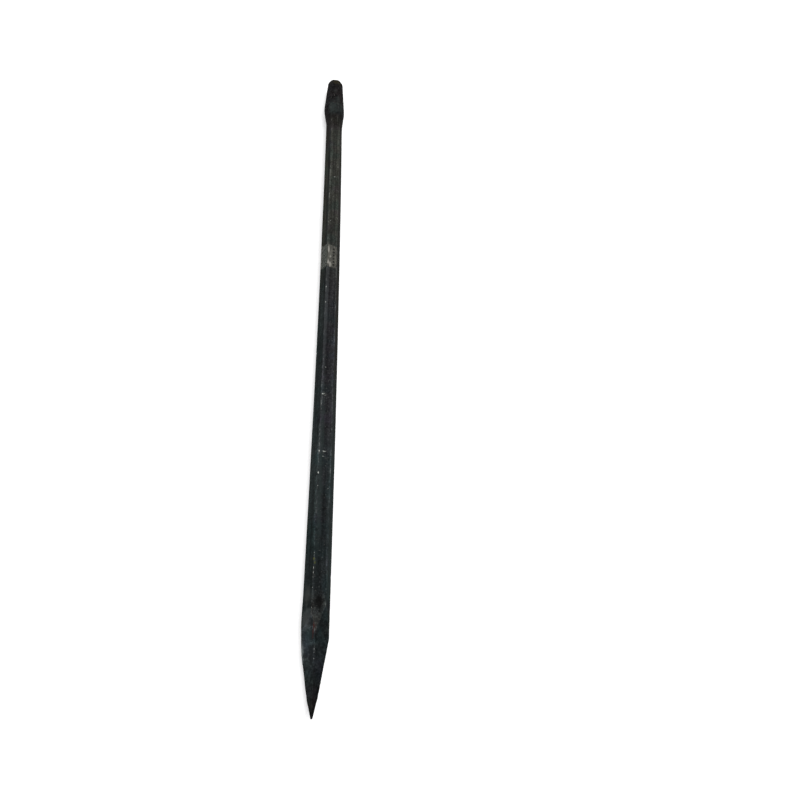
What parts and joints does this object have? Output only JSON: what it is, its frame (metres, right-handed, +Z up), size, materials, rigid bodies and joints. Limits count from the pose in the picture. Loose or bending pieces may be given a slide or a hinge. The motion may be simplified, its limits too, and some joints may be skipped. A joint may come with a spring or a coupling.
{
  "type": "digging bar",
  "caption": "Solid hexagonal steel digging bar with a four-sided forged point, an upset striking head and a strip of clear tape round the shaft.",
  "frame": {"origin": "on the floor under the middle of the bar's length and width, with the bar lying flat", "axes": "+Y along the bar from the point to the striking head, +Z up, square to a flat of the hexagon, +X to the right seen from the point"},
  "size_m": [0.0406, 1.2, 0.0405],
  "materials": {
    "forged_steel": "satin",
    "rolled_steel": "satin",
    "clear_tape": "gloss"
  },
  "bodies": {
    "root": {"forged_point": "forged_steel", "hex_shaft": "rolled_steel", "striking_head": "forged_steel", "tape_band": "clear_tape"}
  },
  "joints": []
}
